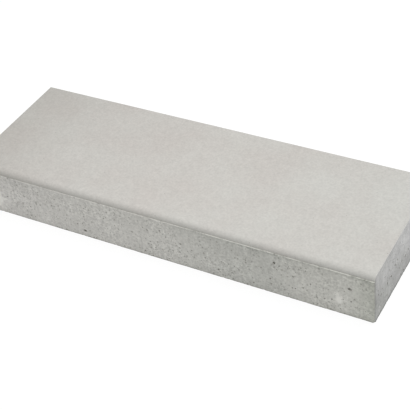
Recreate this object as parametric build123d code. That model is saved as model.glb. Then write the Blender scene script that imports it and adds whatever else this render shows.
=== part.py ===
"""Precast concrete block step: one solid stair block with a rounded nosing.

The block is cast upside down. Its tread and nosing come off the smooth base of the mould, and its
underside is the open face, struck off level with the mould's rim. The frame's origin is at the
centre of the underside: X runs along the length of the tread, the riser faces -Y, and +Z is up.
All sizes are in millimetres.
"""

from build123d import *
import os

# Overall size of the block
LENGTH = 1200.0
TREAD_DEPTH = 400.0
RISER_HEIGHT = 150.0

# Nosing along the front of the tread, shaped by a hollow strip laid in the corner of the mould
NOSING_RADIUS = 16.0
# The edge of the strip is this thick, so the nosing ends on a narrow ledge set back from the riser
NOSING_LEDGE = 2.5

# Rounding that the mould's inner corners leave on every arris but the struck-off ones underneath
ARRIS_RADIUS = 1.2

FRONT_Y = -TREAD_DEPTH / 2
BACK_Y = TREAD_DEPTH / 2
END_X = LENGTH / 2
LEDGE_Z = RISER_HEIGHT - NOSING_RADIUS

# How near an edge's middle has to be to a face to count as lying on it
ON_FACE = 0.01


def section():
    """Cross-section on the YZ plane: riser, ledge, quarter-round nosing, tread, back and bed."""
    ledge_root = (FRONT_Y + NOSING_LEDGE, LEDGE_Z)
    nosing_top = (FRONT_Y + NOSING_LEDGE + NOSING_RADIUS, RISER_HEIGHT)
    with BuildSketch(Plane.YZ) as outline:
        with BuildLine():
            Polyline((FRONT_Y, 0), (FRONT_Y, LEDGE_Z), ledge_root)
            RadiusArc(ledge_root, nosing_top, NOSING_RADIUS)
            Polyline(nosing_top, (BACK_Y, RISER_HEIGHT), (BACK_Y, 0), (FRONT_Y, 0))
        make_face()
    return outline.sketch


def front_corners():
    """Plan of the block with only the two upright corners of the riser rounded."""
    with BuildSketch(Plane.XY) as plan:
        outline = Rectangle(LENGTH, TREAD_DEPTH)
        fillet(outline.vertices().group_by(Axis.Y)[0], ARRIS_RADIUS)
    return extrude(plan.sketch, amount=RISER_HEIGHT)


def is_moulded_arris(edge):
    """True for the ends of the nosing, the three closed sides of the tread and the back corners."""
    middle = edge.center()
    on_end = abs(middle.X) > END_X - ON_FACE
    on_back = middle.Y > BACK_Y - ON_FACE
    on_bed = middle.Z < ON_FACE
    on_riser_side = on_end and middle.Z < LEDGE_Z + ON_FACE and not on_back
    return (on_end or on_back) and not on_bed and not on_riser_side


def block_step():
    bar = extrude(section(), amount=END_X, both=True)
    eased = fillet(bar.edges().filter_by(is_moulded_arris), ARRIS_RADIUS)
    return eased & front_corners()


def main():
    os.makedirs("parts", exist_ok=True)
    step = block_step()
    export_step(step, "parts/block_step.step")


main()
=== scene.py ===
"""Dressed model of a precast concrete block step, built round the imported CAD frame.

The block is cast upside down in a steel mould. The tread and the nosing come off the mould's
polished base and are pale and close. The riser, the back and the ends come off its walls, where
air stays trapped, and are peppered with holes. The underside is the open face, struck off and
floated.
"""

import math
import random

import bmesh
import bpy
from mathutils import Matrix, Quaternion, Vector, noise


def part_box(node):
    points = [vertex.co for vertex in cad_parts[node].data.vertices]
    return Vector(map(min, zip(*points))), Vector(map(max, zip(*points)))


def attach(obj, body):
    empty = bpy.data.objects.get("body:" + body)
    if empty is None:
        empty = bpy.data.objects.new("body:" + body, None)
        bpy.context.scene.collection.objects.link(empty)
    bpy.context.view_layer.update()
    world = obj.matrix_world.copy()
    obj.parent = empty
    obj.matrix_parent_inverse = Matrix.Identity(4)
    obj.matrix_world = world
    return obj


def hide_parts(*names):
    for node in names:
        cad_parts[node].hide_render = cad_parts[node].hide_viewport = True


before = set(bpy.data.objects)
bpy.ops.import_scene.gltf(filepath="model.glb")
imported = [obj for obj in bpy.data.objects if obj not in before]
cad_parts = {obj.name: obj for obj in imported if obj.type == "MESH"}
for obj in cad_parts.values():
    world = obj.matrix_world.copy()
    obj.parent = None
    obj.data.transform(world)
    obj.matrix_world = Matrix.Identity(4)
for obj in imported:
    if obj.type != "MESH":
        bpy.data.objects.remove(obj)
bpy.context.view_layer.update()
ROOT = "root"
BLOCK = "block_step"
MM = 0.001

# The block's faces, from the CAD node's own box
(LEFT, FRONT, BED), (RIGHT, BACK, TREAD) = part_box(BLOCK)
LENGTH = RIGHT - LEFT
DEPTH = BACK - FRONT

# Nosing and arris sizes, the same as the solid's
NOSING_RADIUS = 16 * MM
NOSING_LEDGE = 2.5 * MM
ARRIS = 1.2 * MM
LEDGE_Z = TREAD - NOSING_RADIUS
LEDGE_Y = FRONT + NOSING_LEDGE
# The mould's corner strip lies this far above its drawn place at the left and at the right, and
# the ledge climbs from the one height to the other between these two places
STRIP_LEFT = 1.0 * MM
STRIP_RIGHT = 2.2 * MM
CLIMB_START = -0.40
CLIMB_END = 0.20

# Filled holes of the two lifting pins in the riser
PIN_LEFT = LEFT + 79 * MM
PIN_RIGHT = RIGHT - 91 * MM
PIN_HEIGHT = 46 * MM
PIN_RADIUS = 12.5 * MM

# Material slots of the block, in order
TREAD_SKIN, RISER_SKIN, END_SKIN, BACK_SKIN, BED_SKIN, AIR_HOLE, BROKEN = range(7)


# Finishes

# Sand and dust cut down the gloss of concrete
CONCRETE_SPECULAR = 0.3

# Nearly all of a noise's values lie between these
NOISE_LOW, NOISE_HIGH = 0.3, 0.7

# Sockets of a Mix node that mixes colours, by number because their names repeat
SHARE, UNDER, OVER = 0, 6, 7
MIXED = 2


def linear(code):
    """An sRGB hex colour as linear RGBA."""
    channels = [int(code[i:i + 2], 16) / 255 for i in (0, 2, 4)]
    return [c / 12.92 if c <= 0.04045 else ((c + 0.055) / 1.055) ** 2.4 for c in channels] + [1.0]


def node(tree, kind, settings, links=None):
    """Add one node, with settings by attribute or input, and links from nodes or outputs."""
    made = tree.nodes.new(kind)
    for name, value in settings.items():
        if isinstance(name, str) and hasattr(made, name):
            setattr(made, name, value)
        else:
            made.inputs[name].default_value = value
    for name, source in (links or {}).items():
        output = source.outputs[0] if isinstance(source, bpy.types.Node) else source
        tree.links.new(output, made.inputs[name])
    return made


class Finish:
    """One finish of the concrete while it is built up: its material, and its colour so far."""

    def __init__(self, name, dark, light, cloud_mm):
        """Start as slow clouds of two close greys."""
        self.material = bpy.data.materials.new(name)
        self.material.use_nodes = True
        self.tree = self.material.node_tree
        self.shader = self.tree.nodes["Principled BSDF"]
        self.shader.inputs["Specular IOR Level"].default_value = CONCRETE_SPECULAR
        self.place = node(self.tree, "ShaderNodeTexCoord", {}).outputs["Object"]
        clouds = node(self.tree, "ShaderNodeTexNoise",
                      {"Scale": 1 / (cloud_mm * MM), "Detail": 4.0}, {"Vector": self.place})
        share = node(self.tree, "ShaderNodeMapRange", {"From Min": 0.35, "From Max": 0.65},
                     {"Value": clouds})
        self.colour = node(self.tree, "ShaderNodeMix",
                           {"data_type": "RGBA", UNDER: linear(dark), OVER: linear(light)},
                           {SHARE: share}).outputs[MIXED]

    def sand(self, sand_mm, contrast, stretch=(1, 1, 1)):
        """Make the colour lighter and darker by a share, grain by grain; gives the grain.

        Sand is finer than a pixel of the render, so it is drawn two or three times coarser than
        it is.
        """
        moved = node(self.tree, "ShaderNodeMapping", {"Scale": [1 / length for length in stretch]},
                     {"Vector": self.place})
        grain = node(self.tree, "ShaderNodeTexNoise", {"Scale": 1 / (sand_mm * MM), "Detail": 2.0},
                     {"Vector": moved})
        tone = node(self.tree, "ShaderNodeMapRange",
                    {"From Min": NOISE_LOW, "From Max": NOISE_HIGH, "To Min": 1 - contrast,
                     "To Max": 1 + contrast}, {"Value": grain})
        self.colour = node(self.tree, "ShaderNodeVectorMath", {"operation": "SCALE"},
                           {0: self.colour, "Scale": tone}).outputs[0]
        return grain.outputs[0]

    def specks(self, spacing_mm, radius_mm, chosen_share, speck):
        """Round specks of one colour, in a share of the cells of a net with the given spacing."""
        cells = node(self.tree, "ShaderNodeTexVoronoi", {"Scale": 1 / (spacing_mm * MM)},
                     {"Vector": self.place})
        size = radius_mm / spacing_mm
        spots = node(self.tree, "ShaderNodeMapRange",
                     {"From Min": 0.4 * size, "From Max": size, "To Min": 1.0, "To Max": 0.0},
                     {"Value": cells})
        lot = node(self.tree, "ShaderNodeSeparateColor", {}, {0: cells.outputs["Color"]})
        chosen = node(self.tree, "ShaderNodeMath", {"operation": "LESS_THAN", 1: chosen_share},
                      {0: lot})
        self.shade_where(spots, chosen, speck, blend="MIX")

    def shade(self, along, full, clear, tint, blend="MULTIPLY", most=1.0):
        """Lay a tint on in full at one place along an axis, fading out towards the clear place."""
        share = node(self.tree, "ShaderNodeMapRange",
                     {"From Min": clear, "From Max": full, "To Max": most}, {"Value": along})
        self.colour = node(self.tree, "ShaderNodeMix",
                           {"data_type": "RGBA", "blend_type": blend, OVER: linear(tint)},
                           {SHARE: share, UNDER: self.colour}).outputs[MIXED]

    def shade_where(self, one, other, tint, blend="MULTIPLY"):
        """Lay a tint on where two shares are both high."""
        share = node(self.tree, "ShaderNodeMath", {"operation": "MULTIPLY"}, {0: one, 1: other})
        self.colour = node(self.tree, "ShaderNodeMix",
                           {"data_type": "RGBA", "blend_type": blend, OVER: linear(tint)},
                           {SHARE: share, UNDER: self.colour}).outputs[MIXED]

    def done(self, grain, relief_mm, smooth, dull):
        """Link up the colour, the grain's relief, and the roughness, which follows the relief."""
        relief = node(self.tree, "ShaderNodeBump", {"Distance": relief_mm * MM}, {"Height": grain})
        polish = node(self.tree, "ShaderNodeMapRange",
                      {"From Min": NOISE_LOW, "From Max": NOISE_HIGH, "To Min": dull,
                       "To Max": smooth}, {"Value": grain})
        self.tree.links.new(self.colour, self.shader.inputs["Base Color"])
        self.tree.links.new(relief.outputs[0], self.shader.inputs["Normal"])
        self.tree.links.new(polish.outputs[0], self.shader.inputs["Roughness"])
        return self.material


def height_over_ledge(skin, x, z):
    """Height above the ledge, which climbs along the block as the mould's corner strip does."""
    ledge = node(skin.tree, "ShaderNodeMapRange",
                 {"interpolation_type": "SMOOTHSTEP", "From Min": CLIMB_START,
                  "From Max": CLIMB_END, "To Min": LEDGE_Z + STRIP_LEFT,
                  "To Max": LEDGE_Z + STRIP_RIGHT}, {"Value": x})
    return node(skin.tree, "ShaderNodeMath", {"operation": "SUBTRACT"}, {0: z, 1: ledge}).outputs[0]


def off_steel_base():
    """Fair-faced concrete off the mould's steel base: a pale, close skin with a soft sheen.

    The eye sees even, warm grey with a faint sand grain and a few pinpricks.
    """
    skin = Finish("concrete_off_steel_base", dark="C0BCB7", light="C3C1BC", cloud_mm=160)
    x, y, z = node(skin.tree, "ShaderNodeSeparateXYZ", {}, {0: skin.place}).outputs
    grain = skin.sand(sand_mm=5.5, contrast=0.055)
    skin.sand(sand_mm=12, contrast=0.034)
    # Its pinpricks are dark specks, painted shade standing in for their hollows
    skin.specks(spacing_mm=18, radius_mm=1.5, chosen_share=0.2, speck="96938D")
    # Painted shade greys the tread a little towards its back and its left end, where less of the
    # light falls, and it cools towards its right
    skin.shade(y, BACK, FRONT, "F7F7F7")
    skin.shade(x, LEFT, LEFT + 250 * MM, "F4F4F3")
    skin.shade(x, RIGHT, 0.0, "FDFFFF")
    # Painted shade in the corner above the ledge, with grey grout from the joint under the corner
    # strip, darkens the foot of the nosing
    skin.shade(height_over_ledge(skin, x, z), 1 * MM, 14 * MM, "9FA09A", blend="MIX", most=0.4)
    return skin.done(grain, relief_mm=0.15, smooth=0.66, dull=0.78)


class WallFinish(Finish):
    """Concrete off a mould wall: pitted and mottled, with upright streaks and a painted contact
    shadow at its foot.
    """

    def __init__(self, name, dark, light, cloud_mm, contrast):
        super().__init__(name, dark, light, cloud_mm)
        self.x, self.y, self.z = node(self.tree, "ShaderNodeSeparateXYZ", {},
                                      {0: self.place}).outputs
        close_skin = self.colour
        self.grain = self.sand(sand_mm=6, contrast=contrast)
        self.sand(sand_mm=15, contrast=0.07)
        # Pinholes and shallow pits, painted as dark specks that stand in for the shade in their
        # hollows, and pale flecks of sand
        self.specks(spacing_mm=8, radius_mm=1.8, chosen_share=0.55, speck="93928C")
        self.specks(spacing_mm=14, radius_mm=3.4, chosen_share=0.45, speck="9F9E98")
        self.specks(spacing_mm=13, radius_mm=1.8, chosen_share=0.2, speck="DAD9D3")
        # The skin is coarse in some patches, a hand's breadth across, and half as coarse in others
        patches = node(self.tree, "ShaderNodeTexNoise", {"Scale": 1 / (60 * MM), "Detail": 1.0},
                       {"Vector": self.place})
        coarse = node(self.tree, "ShaderNodeMapRange",
                      {"From Min": 0.38, "From Max": 0.62, "To Min": 0.5}, {"Value": patches})
        self.colour = node(self.tree, "ShaderNodeMix", {"data_type": "RGBA"},
                           {SHARE: coarse, UNDER: close_skin, OVER: self.colour}).outputs[MIXED]
        # Grout that ran down the mould's wall leaves long upright streaks
        self.sand(sand_mm=8, contrast=0.045, stretch=(1, 1, 6))
        # A painted contact shadow darkens the foot, just above the bed's arris
        self.shade(self.z, BED + 1.5 * MM, BED + 4 * MM, "D8D8D6")

    def paint_arris_highlight(self):
        """Paint the tread's pale tone over its arris onto the top two millimetres of the wall, a
        painted highlight along the arris.
        """
        self.shade(self.z, TREAD - 1.8 * MM, TREAD - 3 * MM, "DAD9D5", blend="MIX")

    def fill_pin_hole(self, x, half_height, pale):
        """Pale mortar, thumbed into a lifting pin's hole, feathers out over the skin round it."""
        from_pin = node(self.tree, "ShaderNodeMapping",
                        {"vector_type": "TEXTURE", "Location": (x, FRONT, BED + PIN_HEIGHT),
                         "Scale": (PIN_RADIUS, DEPTH, half_height)}, {"Vector": self.place})
        far = node(self.tree, "ShaderNodeVectorMath", {"operation": "LENGTH"}, {0: from_pin})
        thumbed = node(self.tree, "ShaderNodeTexNoise", {"Scale": 1 / (14 * MM), "Detail": 3.0},
                       {"Vector": self.place})
        ragged = node(self.tree, "ShaderNodeMapRange",
                      {"From Min": NOISE_LOW, "From Max": NOISE_HIGH, "To Min": 0.4,
                       "To Max": 1.8}, {"Value": thumbed})
        far = node(self.tree, "ShaderNodeMath", {"operation": "MULTIPLY"},
                   {0: far.outputs["Value"], 1: ragged}).outputs[0]
        self.shade(far, 0.5, 1.4, pale, blend="MIX")

    def finished(self):
        return self.done(self.grain, relief_mm=0.5, smooth=0.8, dull=0.95)


def off_front_wall():
    """Riser concrete: green-grey and mottled, pricked with fine holes and pale flecks of sand."""
    skin = WallFinish("concrete_off_front_wall", "CFCDC9", "D4D2CE", cloud_mm=90, contrast=0.18)
    tree = skin.tree
    # The face turns a little darker and greener to the right, most of all beside its last arris
    skin.shade(skin.x, RIGHT, LEFT, "F3F5F2")
    skin.shade(skin.x, RIGHT, RIGHT - 75 * MM, "E9EBE8")
    # A damp patch darkens its third quarter
    damp = node(tree, "ShaderNodeMapRange", {"From Min": 20 * MM, "From Max": 200 * MM},
                {"Value": skin.x})
    still_damp = node(tree, "ShaderNodeMapRange", {"From Min": 420 * MM, "From Max": 320 * MM},
                      {"Value": skin.x})
    skin.shade_where(damp, still_damp, "F4F5F5")
    # It is painted a little darker towards the ledge and so lighter towards its foot, painted light
    # against the shade near the floor; the ledge's right half has a thin painted shade under it
    over_ledge = height_over_ledge(skin, skin.x, skin.z)
    skin.shade(over_ledge, 0.0, BED - LEDGE_Z, "EFEFEE")
    under = node(tree, "ShaderNodeMapRange", {"From Min": -9 * MM, "From Max": -4 * MM},
                 {"Value": over_ledge})
    right_half = node(tree, "ShaderNodeMapRange", {"From Min": 20 * MM, "From Max": 140 * MM},
                      {"Value": skin.x})
    skin.shade_where(under, right_half, "F2F3F2")
    # A pale line lies along the ledge in broken runs, thicker on the right: grout, and a painted
    # highlight where the ledge's edge catches the light
    runs = node(tree, "ShaderNodeTexNoise", {"Scale": 1 / (24 * MM), "Detail": 3.0},
                {"Vector": skin.place})
    broken = node(tree, "ShaderNodeMapRange", {"From Min": 0.36, "From Max": 0.54},
                  {"Value": runs})
    edge = node(tree, "ShaderNodeMapRange", {"From Min": -1.5 * MM, "From Max": -0.3 * MM},
                {"Value": over_ledge})
    thick = node(tree, "ShaderNodeMapRange",
                 {"From Min": -100 * MM, "From Max": 100 * MM, "To Min": 0.4, "To Max": 0.65},
                 {"Value": skin.x})
    grout_and_highlight = node(tree, "ShaderNodeMath", {"operation": "MULTIPLY"}, {0: edge, 1: thick})
    skin.shade_where(grout_and_highlight, broken, "DCDBD5", blend="MIX")
    skin.fill_pin_hole(PIN_LEFT, 2.2 * PIN_RADIUS, "E3E2DC")
    skin.fill_pin_hole(PIN_RIGHT, 1.3 * PIN_RADIUS, "DDDCD6")
    # Handling has rubbed both upright arrises dark
    skin.shade(skin.x, RIGHT - 1.5 * MM, RIGHT - 4.5 * MM, "F6F6F5")
    skin.shade(skin.x, LEFT + 1.5 * MM, LEFT + 4.5 * MM, "F6F6F5")
    return skin.finished()


def off_stop_end():
    """Concrete of the two ends: cooler grey in damp blotches, with painted shade darkening it
    downwards.
    """
    skin = WallFinish("concrete_off_stop_end", "BABAB9", "CDCDCC", cloud_mm=42, contrast=0.13)
    tree = skin.tree
    # Near the eye the streaks of grout stand out one by one
    skin.sand(sand_mm=5, contrast=0.06, stretch=(1, 1, 8))
    # The lower half is darker with painted shade, the foot darker still with a painted contact
    # shadow, and the top a little darker just below the arris
    skin.shade(skin.z, BED + 45 * MM, BED + 110 * MM, "F2F2F1")
    skin.shade(skin.z, BED + 2.5 * MM, BED + 8 * MM, "BFBFBD")
    skin.shade(skin.z, TREAD - 3 * MM, TREAD - 7 * MM, "F4F4F4")
    # Handling has rubbed the arris beside the riser dark, but for its foot
    rubbed = node(tree, "ShaderNodeMapRange",
                  {"From Min": FRONT + 12 * MM, "From Max": FRONT + 5 * MM}, {"Value": skin.y})
    over_foot = node(tree, "ShaderNodeMapRange",
                     {"From Min": BED + 35 * MM, "From Max": BED + 60 * MM}, {"Value": skin.z})
    skin.shade_where(rubbed, over_foot, "DADAD8")
    # The third of the face beside the riser is darker, most of all low down
    skin.shade(skin.y, FRONT + 40 * MM, FRONT + 120 * MM, "F8F8F7")
    low = node(tree, "ShaderNodeMapRange",
               {"From Min": BED + 85 * MM, "From Max": BED + 45 * MM}, {"Value": skin.z})
    beside = node(tree, "ShaderNodeMapRange",
                  {"From Min": FRONT + 130 * MM, "From Max": FRONT + 70 * MM}, {"Value": skin.y})
    skin.shade_where(low, beside, "F3F4F3")
    # A painted highlight along the top arris
    skin.paint_arris_highlight()
    return skin.finished()


def off_back_wall():
    """Concrete of the back: the riser's grain on a plainer grey, a little darker low down."""
    skin = WallFinish("concrete_off_back_wall", "C3C2BE", "CAC9C5", cloud_mm=80, contrast=0.16)
    skin.shade(skin.z, BED + 10 * MM, BED + 110 * MM, "F2F2F1")
    # A painted highlight along the top arris
    skin.paint_arris_highlight()
    return skin.finished()


def struck_off():
    """The open face, struck off with a board and floated: darker, coarse and streaky."""
    skin = Finish("concrete_struck_off", dark="A9A7A0", light="BDBBB4", cloud_mm=70)
    grain = skin.sand(sand_mm=4.5, contrast=0.12)
    skin.sand(sand_mm=12, contrast=0.07, stretch=(8, 1, 1))
    skin.specks(spacing_mm=12, radius_mm=2.2, chosen_share=0.4, speck="85837D")
    return skin.done(grain, relief_mm=0.8, smooth=0.85, dull=0.98)


def air_hole_skin():
    """The inside of an air hole: paste that no mould has touched, coloured darker than the face as
    painted shade in the hollow.
    """
    skin = Finish("concrete_air_hole_skin", dark="9C9B95", light="B1B0A9", cloud_mm=12)
    grain = skin.sand(sand_mm=2.5, contrast=0.1)
    return skin.done(grain, relief_mm=0.3, smooth=0.9, dull=0.98)


def broken_edge():
    """A broken arris: bare sand and paste, rough and darker than the cast skin."""
    skin = Finish("concrete_broken_edge", dark="8F8E88", light="B4B3AC", cloud_mm=6)
    grain = skin.sand(sand_mm=2.2, contrast=0.12)
    return skin.done(grain, relief_mm=0.8, smooth=0.9, dull=0.98)


# Shape

# How near two heights or depths have to be to count as the same
NEAR = 0.02 * MM
NOSING_STEPS = 12
ARRIS_STEPS = 2
# The nosing is rounded a hair short of its radius, so that its corners stay whole, and then merged
NOSING_GAP = 0.01 * MM
MERGE = 0.03 * MM
# Edges that turn by more than this are arrises
ARRIS_ANGLE = math.radians(60)
# Edges that turn by more than this are shaded sharp
SHARP_ANGLE = math.radians(35)
# How far a face's normal points down, out or up, if it belongs to the bed, a wall or the tread
DOWNWARD, OUTWARD, UPWARD = -0.9, 0.6, 0.5

# Spacing of the grid that carries the faces' unevenness
GRID = 7.5 * MM
# How far the faces sink, in mm: on average, in long waves and in short ripples
FACE_SINK = (0.15, 0.12, 0.05)
BED_SINK = (0.45, 0.4, 0.25)
# Lengths of those waves and ripples; the bed's are longer along the block, as the board went
FACE_WAVE, FACE_RIPPLE = 110 * MM, 30 * MM
BED_WAVE, BED_RIPPLE = (70 * MM, 25 * MM), (18 * MM, 12 * MM)
# How far below the ledge its climb still bends the grid
CLIMB_REACH = 15 * MM


def near(a, b):
    return abs(a - b) < NEAR


def square_bar():
    """The block with a square nosing: its section drawn on the left end and pulled to the right."""
    mesh = bmesh.new()
    outline = [(FRONT, BED), (FRONT, LEDGE_Z), (LEDGE_Y, LEDGE_Z), (LEDGE_Y, TREAD), (BACK, TREAD),
               (BACK, BED)]
    end = mesh.faces.new([mesh.verts.new((LEFT, y, z)) for y, z in outline])
    swept = bmesh.ops.extrude_face_region(mesh, geom=[end])["geom"]
    far_end = [v for v in swept if isinstance(v, bmesh.types.BMVert)]
    bmesh.ops.translate(mesh, verts=far_end, vec=(LENGTH, 0, 0))
    bmesh.ops.recalc_face_normals(mesh, faces=mesh.faces[:])
    return mesh


def round_edges(mesh):
    """Round the nosing, then ease every moulded arris but the ledge's and the bed's."""
    front_top = [e for e in mesh.edges
                 if all(near(v.co.y, LEDGE_Y) and near(v.co.z, TREAD) for v in e.verts)]
    bmesh.ops.bevel(mesh, geom=front_top, offset=NOSING_RADIUS - NOSING_GAP, offset_type="OFFSET",
                    segments=NOSING_STEPS, profile=0.5, affect="EDGES", material=-1)
    bmesh.ops.remove_doubles(mesh, verts=mesh.verts[:], dist=MERGE)
    arrises = []
    for edge in mesh.edges:
        heights = [v.co.z for v in edge.verts]
        on_bed = all(near(z, BED) for z in heights)
        on_ledge = all(near(z, LEDGE_Z) for z in heights)
        if edge.calc_face_angle() > ARRIS_ANGLE and not on_bed and not on_ledge:
            arrises.append(edge)
    bmesh.ops.bevel(mesh, geom=arrises, offset=ARRIS, offset_type="OFFSET", segments=ARRIS_STEPS,
                    profile=0.5, affect="EDGES", material=-1)


def cut_grid(mesh):
    """Score the faces into a grid, so that they can be made uneven."""
    for axis, low, high in ((0, LEFT, RIGHT), (1, FRONT, BACK), (2, BED, TREAD)):
        across = Vector([i == axis for i in range(3)])
        cuts = round((high - low) / GRID)
        for i in range(1, cuts):
            bmesh.ops.bisect_plane(mesh, geom=mesh.verts[:] + mesh.edges[:] + mesh.faces[:],
                                   plane_co=across * (low + (high - low) * i / cuts),
                                   plane_no=across, dist=0.001 * MM)


def sort_faces(mesh):
    """Give each face the finish that its side of the mould leaves."""
    for face in mesh.faces:
        middle = face.calc_center_median()
        over_ledge = middle.z > LEDGE_Z + 0.1 * MM
        on_nosing = middle.y < LEDGE_Y + NOSING_RADIUS
        if face.normal.z < DOWNWARD:
            face.material_index = BED_SKIN
        elif abs(face.normal.x) > OUTWARD:
            face.material_index = END_SKIN
        elif face.normal.y > OUTWARD:
            face.material_index = BACK_SKIN
        elif over_ledge and (face.normal.z > UPWARD or on_nosing):
            face.material_index = TREAD_SKIN
        else:
            face.material_index = RISER_SKIN


def make_uneven(mesh):
    """Sink the faces by tenths of a millimetre, and the struck-off bed by up to one."""
    moves = []
    for vert in mesh.verts:
        p = vert.co
        if near(p.z, BED):
            wave, ripple = [noise.noise(Vector((p.x / long, p.y / wide, seed)))
                            for (long, wide), seed in ((BED_WAVE, 3.0), (BED_RIPPLE, 8.0))]
            even, by_wave, by_ripple = BED_SINK
        else:
            wave = noise.noise(p / FACE_WAVE)
            ripple = noise.noise(p / FACE_RIPPLE + Vector((5, 5, 5)))
            even, by_wave, by_ripple = FACE_SINK
        moves.append((vert, (even + by_wave * wave + by_ripple * ripple) * MM))
    for vert, depth in moves:
        vert.co -= vert.normal * max(0.0, depth)


def slope_ledge(mesh):
    """Let the ledge climb along the block, as the mould's corner strip did."""
    for vert in mesh.verts:
        if vert.co.y < LEDGE_Y + NOSING_RADIUS:
            reach = CLIMB_REACH if vert.co.z < LEDGE_Z else NOSING_RADIUS
            weight = max(0.0, 1 - abs(vert.co.z - LEDGE_Z) / reach)
            climb = min(1.0, max(0.0, (vert.co.x - CLIMB_START) / (CLIMB_END - CLIMB_START)))
            eased = climb * climb * (3 - 2 * climb)
            vert.co.z += weight * (STRIP_LEFT + (STRIP_RIGHT - STRIP_LEFT) * eased)


# Air holes and chips

SEED = 4150

# The holes that show one by one: place along the wall from its middle, height, half width and half
# height, all in mm
RISER_HOLES = [(338, 106, 4.0, 4.2), (335, 101, 2.0, 2.2), (537, 91, 6.0, 3.6), (359, 90, 2.0, 4.6),
               (388, 78, 2.8, 2.6), (372, 73, 2.0, 2.2), (414, 50, 2.4, 3.0), (294, 131, 2.8, 1.8),
               (458, 130, 3.0, 1.8), (504, 130, 3.0, 1.8), (486, 4, 5.0, 2.6), (423, 109, 1.8, 3.0),
               (-236, 21, 6.0, 3.8), (-413, 51, 2.8, 2.8), (-389, 72, 2.0, 6.5),
               (-336, 78, 2.6, 2.6), (-321, 105, 2.4, 2.6), (-300, 4, 4.6, 3.0),
               (-78, 69, 4.4, 2.0), (176, 25, 3.2, 3.6), (-28, 92, 2.8, 2.8), (70, 77, 3.0, 2.8),
               (64, 46, 2.8, 2.8), (140, 53, 3.2, 2.4), (258, 79, 2.8, 3.0), (324, 48, 2.8, 2.8),
               (326, 31, 2.8, 3.0), (489, 40, 2.6, 2.8), (549, 61, 3.4, 2.6), (522, 79, 2.2, 1.8),
               (-419, 17, 3.2, 2.4), (-258, 39, 2.6, 2.6), (-231, 73, 2.4, 2.6),
               (-311, 85, 2.4, 2.4), (-225, 103, 2.4, 2.2), (-489, 64, 2.4, 2.4),
               (-427, 83, 2.4, 2.4), (-226, 3, 4.6, 3.0), (-63, 20, 2.8, 2.4), (-46, 14, 3.2, 2.6),
               (-24, 53, 2.4, 2.6), (-24, 32, 2.4, 2.4), (224, 54, 2.4, 2.8), (236, 46, 2.6, 2.4),
               (275, 16, 3.0, 2.6), (362, 24, 3.0, 2.6), (392, 39, 2.6, 2.4), (434, 69, 2.4, 2.6),
               (470, 35, 2.4, 2.4), (237, 96, 2.2, 2.2), (222, 35, 2.4, 2.4), (221, 107, 2.0, 2.2),
               (236, 84, 2.2, 2.6), (207, 55, 2.2, 2.4), (101, 65, 2.2, 2.4), (107, 43, 2.4, 2.4),
               (136, 87, 2.2, 2.4), (519, 50, 1.8, 2.0), (-526, 41, 2.2, 2.0)]
END_HOLES = [(1, 49, 3.4, 3.4), (-22, 52, 3.0, 3.2), (-52, 82, 3.0, 3.8), (-62, 72, 2.2, 3.6),
             (-93, 62, 3.4, 3.6), (-118, 60, 2.4, 5.4), (-159, 60, 2.6, 5.6), (-120, 24, 3.0, 3.0),
             (-11, 11, 3.4, 3.4), (-28, 12, 3.4, 3.0), (22, 54, 3.0, 3.0), (-39, 42, 2.2, 3.0)]
# A hole is deep if its smaller half size is above this, and otherwise shallow, as shares of it
DEEP_FROM_MM = 3.2
DEEP, SHALLOW = 1.3, 0.55

# Scattered holes: their number on the riser, the back and each end, how far they stay from a wall's
# ends, foot and top, and their radii, most of which are near the least
SCATTERED = (460, 400, 110, 110)
END_MARGIN, FOOT_MARGIN, TOP_MARGIN = 4 * MM, 3 * MM, 6 * MM
LEAST_RADIUS_MM = 1.1
MOST_RADIUS = 2.6 * MM
RADIUS_RATE = 2.2
# Above 1, more of the holes lie low on the wall, which was the top of the casting
LOW_BIAS = 1.25
# They gather in loose clusters of this size, whose noise has to pass a number drawn between these
CLUSTER = 45 * MM
CROWDED = (-0.4, 0.2)
# Lumps from this radius on are round enough only with the finer faces
FINE_RADIUS = 1.3 * MM

# Arrises that are chipped: their two ends, the way out from them, the number of chips, and the
# chips' half size in mm
CHIPPED = [((LEFT, FRONT, BED), (RIGHT, FRONT, BED), (0, -1, -1), 70, 2.0),
           ((LEFT, BACK, BED), (RIGHT, BACK, BED), (0, 1, -1), 60, 2.2),
           ((LEFT, FRONT, BED), (LEFT, BACK, BED), (-1, 0, -1), 24, 2.2),
           ((RIGHT, FRONT, BED), (RIGHT, BACK, BED), (1, 0, -1), 24, 2.0),
           ((RIGHT, FRONT, BED), (RIGHT, FRONT, LEDGE_Z), (1, -1, 0), 5, 1.2),
           ((LEFT, FRONT, BED), (LEFT, FRONT, LEDGE_Z), (-1, -1, 0), 5, 1.2),
           ((RIGHT, BACK, BED), (RIGHT, BACK, TREAD), (1, 1, 0), 5, 1.5),
           ((LEFT, BACK, BED), (LEFT, BACK, TREAD), (-1, 1, 0), 5, 1.5),
           ((LEFT, BACK, TREAD), (RIGHT, BACK, TREAD), (0, 1, 1), 14, 1.0),
           ((RIGHT, FRONT, TREAD), (RIGHT, BACK, TREAD), (1, 0, 1), 6, 1.0),
           ((LEFT, FRONT, TREAD), (LEFT, BACK, TREAD), (-1, 0, 1), 6, 1.0)]


class Wall:
    """One upright face of the block: where it is and which way it runs."""

    def __init__(self, origin, along, width, top):
        self.origin, self.along, self.width, self.top = Vector(origin), Vector(along), width, top
        self.up = Vector((0, 0, 1))
        self.inward = self.up.cross(self.along)
        self.turn = Matrix((self.along, self.inward, self.up)).transposed().to_quaternion()

    def at(self, across, height, depth):
        return self.origin + self.along * across + self.up * height + self.inward * depth

    def tilted(self, angle):
        """The wall's own turn, with a lump tilted in its plane."""
        return self.turn @ Quaternion((0, 1, 0), angle)


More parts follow.
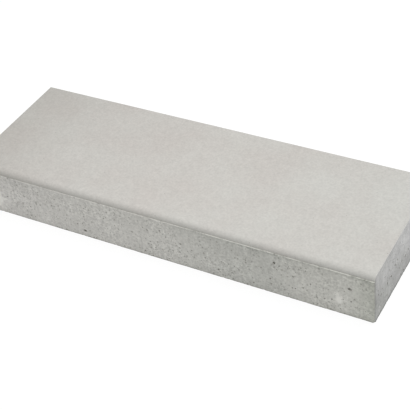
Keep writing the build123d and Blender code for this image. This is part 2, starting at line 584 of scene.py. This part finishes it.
RISER_WALL = Wall((0, FRONT, 0), (1, 0, 0), LENGTH, LEDGE_Z - TOP_MARGIN)
BACK_WALL = Wall((0, BACK, 0), (-1, 0, 0), LENGTH, TREAD - TOP_MARGIN)
RIGHT_END = Wall((RIGHT, 0, 0), (0, 1, 0), DEPTH, TREAD - TOP_MARGIN)
LEFT_END = Wall((LEFT, 0, 0), (0, -1, 0), DEPTH, TREAD - TOP_MARGIN)


class Cutters:
    """Closed lumps to be cut out of the block, kept clear of each other."""

    def __init__(self):
        self.mesh = bmesh.new()
        self.draw = random.Random(SEED)
        self.taken = []

    def is_free(self, centre, reach):
        return all((centre - c).length > reach + r for c, r in self.taken)

    def add(self, centre, size, turn, rough, slot, reach, fine=True):
        """Add one irregular lump of the given half sizes.

        Its cut gets the slot's finish, and no other lump comes within its reach.
        """
        shape = bmesh.new()
        bmesh.ops.create_icosphere(shape, subdivisions=2 if fine else 1, radius=1.0)
        place = Vector([self.draw.uniform(-50, 50) for _ in range(3)])
        for vert in shape.verts:
            vert.co *= 1 + rough * noise.noise(vert.co * 1.3 + place)
        moved = Matrix.Translation(centre) @ turn.to_matrix().to_4x4() @ Matrix.Diagonal((*size, 1))
        bmesh.ops.transform(shape, matrix=moved, verts=shape.verts[:])
        for face in shape.faces:
            face.material_index = slot
        carrier = bpy.data.meshes.new("lump")
        shape.to_mesh(carrier)
        shape.free()
        self.mesh.from_mesh(carrier)
        bpy.data.meshes.remove(carrier)
        self.taken.append((centre, reach))


def large_holes(cutters):
    """The air holes that show one by one in the riser and the right end."""
    for wall, holes in ((RISER_WALL, RISER_HOLES), (RIGHT_END, END_HOLES)):
        for across, height, half_width, half_height in holes:
            depth = min(half_width, half_height)
            depth *= DEEP if depth > DEEP_FROM_MM else SHALLOW
            size = Vector((half_width, depth, half_height)) * MM
            centre = wall.at(across * MM, height * MM, 0.2 * size.y)
            turn = wall.tilted(cutters.draw.uniform(-0.25, 0.25))
            cutters.add(centre, size, turn, rough=0.45, slot=AIR_HOLE, reach=max(size))


def small_holes(cutters):
    """Air holes scattered over the four upright faces, most of them small and shallow."""
    draw = cutters.draw
    for wall, count in zip((RISER_WALL, BACK_WALL, RIGHT_END, LEFT_END), SCATTERED):
        while count:
            across = draw.uniform(-0.5, 0.5) * (wall.width - 2 * END_MARGIN)
            height = FOOT_MARGIN + (wall.top - FOOT_MARGIN) * draw.random() ** LOW_BIAS
            radius = (LEAST_RADIUS_MM + draw.expovariate(RADIUS_RATE)) * MM
            reach = 1.6 * radius
            centre = wall.at(across, height, 0.15 * radius)
            crowd = noise.noise(centre / CLUSTER)
            if (radius > MOST_RADIUS or crowd < draw.uniform(*CROWDED)
                    or not cutters.is_free(centre, reach)):
                continue
            size = Vector((radius, 0.45 * radius, radius * draw.uniform(0.8, 1.5)))
            turn = wall.tilted(draw.uniform(-0.5, 0.5))
            cutters.add(centre, size, turn, rough=0.35, slot=AIR_HOLE, reach=reach,
                        fine=radius > FINE_RADIUS)
            count -= 1


def chips(cutters):
    """Chips out of the arrises, with the largest at the riser's bottom right corner."""
    # A lump centred just outside the corner takes it off
    corner = Vector((RIGHT + 2 * MM, FRONT - 1 * MM, BED - 3 * MM))
    cutters.add(corner, Vector((10, 8, 8)) * MM, Quaternion(), rough=0.4, slot=BROKEN,
                reach=14 * MM)
    draw = cutters.draw
    for start, end, outward, count, radius_mm in CHIPPED:
        start, end, outward = Vector(start), Vector(end), Vector(outward).normalized()
        along = (end - start).normalized()
        for _ in range(count):
            radius = radius_mm * draw.uniform(0.5, 1.5) * MM
            centre = start.lerp(end, draw.uniform(0.03, 0.97)) + outward * 0.45 * radius
            reach = 2.2 * radius
            if cutters.is_free(centre, reach):
                # A chip is twice as long along its arris as across it
                size = Vector([radius * (1 + abs(a)) for a in along])
                turn = Quaternion(outward, draw.uniform(-0.3, 0.3))
                cutters.add(centre, size, turn, rough=0.4, slot=BROKEN, reach=reach)


def new_object(name, mesh, materials):
    """Put a finished bmesh into the scene as an object of its own."""
    data = bpy.data.meshes.new(name)
    mesh.to_mesh(data)
    mesh.free()
    for material in materials:
        data.materials.append(material)
    made = bpy.data.objects.new(name, data)
    bpy.context.scene.collection.objects.link(made)
    return made


def cast_block(materials):
    """The whole block: eased, gridded, uneven, and then cut with its air holes and chips."""
    mesh = square_bar()
    round_edges(mesh)
    cut_grid(mesh)
    mesh.normal_update()
    sort_faces(mesh)
    make_uneven(mesh)
    slope_ledge(mesh)
    block = new_object("cast_block", mesh, materials)
    cutters = Cutters()
    large_holes(cutters)
    small_holes(cutters)
    chips(cutters)
    holes = new_object("holes", cutters.mesh, materials)
    cut = block.modifiers.new("holes", "BOOLEAN")
    cut.operation = "DIFFERENCE"
    cut.solver = "MANIFOLD"
    cut.object = holes
    depsgraph = bpy.context.evaluated_depsgraph_get()
    finished = bpy.data.meshes.new_from_object(block.evaluated_get(depsgraph))
    block.modifiers.clear()
    block.data = finished
    bpy.data.objects.remove(holes)
    for polygon in finished.polygons:
        polygon.use_smooth = True
    finished.set_sharp_from_angle(angle=SHARP_ANGLE)
    return block


# Studio

# Half the side of the floor, whose edge then shows in no view
FLOOR_REACH = 40.0
# Most of what the camera sees of the floor is a glow of its own, a little over white, and the rest
# is its paint, which takes the shadow
FLOOR_WHITE_SHARE = 0.86
FLOOR_WHITE = 1.06
SURROUNDINGS = 0.72
SOFTBOX_WIDTH, SOFTBOX_DEPTH = 1.4, 1.0
SOFTBOX_WATTS = 24
SOFTBOX_PLACE = (0.55, 0.45, 2.25)

# The photo's viewpoint, in degrees and metres, from a camera fitted to the block's edges
VIEW_TURN, VIEW_TILT, VIEW_ROLL = 33.551, 39.603, -7.646
VIEW_AIM = (0.00315, 0.03746, 0.0)
VIEW_DISTANCE = 3.0472
LENS_MM, SENSOR_MM = 96.6, 36


def studio_floor():
    """A plain pale floor that keeps the block's soft shadow and is white beyond it."""
    mesh = bmesh.new()
    bmesh.ops.create_grid(mesh, x_segments=1, y_segments=1, size=FLOOR_REACH)
    bmesh.ops.translate(mesh, verts=mesh.verts[:], vec=(0, 0, BED))
    paint = bpy.data.materials.new("matt_floor_paint")
    paint.use_nodes = True
    tree = paint.node_tree
    matt = tree.nodes["Principled BSDF"]
    matt.inputs["Base Color"].default_value = linear("F1F1F1")
    matt.inputs["Roughness"].default_value = 1.0
    glow = node(tree, "ShaderNodeEmission", {"Strength": FLOOR_WHITE})
    rays = node(tree, "ShaderNodeLightPath", {}).outputs
    # Seen straight, in a gloss or through glass, the floor is mostly its own white
    seen = node(tree, "ShaderNodeMath", {"operation": "MAXIMUM"},
                {0: rays["Is Camera Ray"], 1: rays["Is Glossy Ray"]})
    seen = node(tree, "ShaderNodeMath", {"operation": "MAXIMUM"},
                {0: seen, 1: rays["Is Transmission Ray"]})
    share = node(tree, "ShaderNodeMath", {"operation": "MULTIPLY", 1: FLOOR_WHITE_SHARE}, {0: seen})
    mixed = node(tree, "ShaderNodeMixShader", {}, {0: share, 1: matt, 2: glow})
    tree.links.new(mixed.outputs[0], tree.nodes["Material Output"].inputs["Surface"])
    new_object("studio_floor", mesh, [paint])


def studio_light():
    """Even white surroundings and one large soft box, high behind the block's right half."""
    world = bpy.data.worlds.new("white_studio")
    world.use_nodes = True
    background = world.node_tree.nodes["Background"]
    background.inputs["Color"].default_value = linear("FFFFFF")
    background.inputs["Strength"].default_value = SURROUNDINGS
    bpy.context.scene.world = world
    lamp = bpy.data.lights.new("softbox", "AREA")
    lamp.shape = "RECTANGLE"
    lamp.size = SOFTBOX_WIDTH
    lamp.size_y = SOFTBOX_DEPTH
    lamp.energy = SOFTBOX_WATTS
    softbox = bpy.data.objects.new("softbox", lamp)
    softbox.location = SOFTBOX_PLACE
    softbox.rotation_euler = (-softbox.location).to_track_quat("-Z", "Y").to_euler()
    bpy.context.scene.collection.objects.link(softbox)


def camera():
    """The photo's viewpoint: right of the block and above it, slightly rolled."""
    turn, tilt, roll = [math.radians(angle) for angle in (VIEW_TURN, VIEW_TILT, VIEW_ROLL)]
    back = Vector((math.sin(turn) * math.cos(tilt), -math.cos(turn) * math.cos(tilt),
                   math.sin(tilt)))
    lens = bpy.data.cameras.new("camera")
    lens.sensor_width = SENSOR_MM
    lens.lens = LENS_MM
    eye = bpy.data.objects.new("camera", lens)
    eye.location = Vector(VIEW_AIM) + back * VIEW_DISTANCE
    eye.rotation_mode = "QUATERNION"
    eye.rotation_quaternion = (-back).to_track_quat("-Z", "Y") @ Quaternion((0, 0, 1), roll)
    bpy.context.scene.collection.objects.link(eye)
    bpy.context.scene.camera = eye


# In the order of the material slots
block = cast_block([off_steel_base(), off_front_wall(), off_stop_end(), off_back_wall(),
                    struck_off(), air_hole_skin(), broken_edge()])
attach(block, ROOT)
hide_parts(BLOCK)

studio_floor()
studio_light()
camera()
bpy.context.scene.view_settings.view_transform = "Standard"
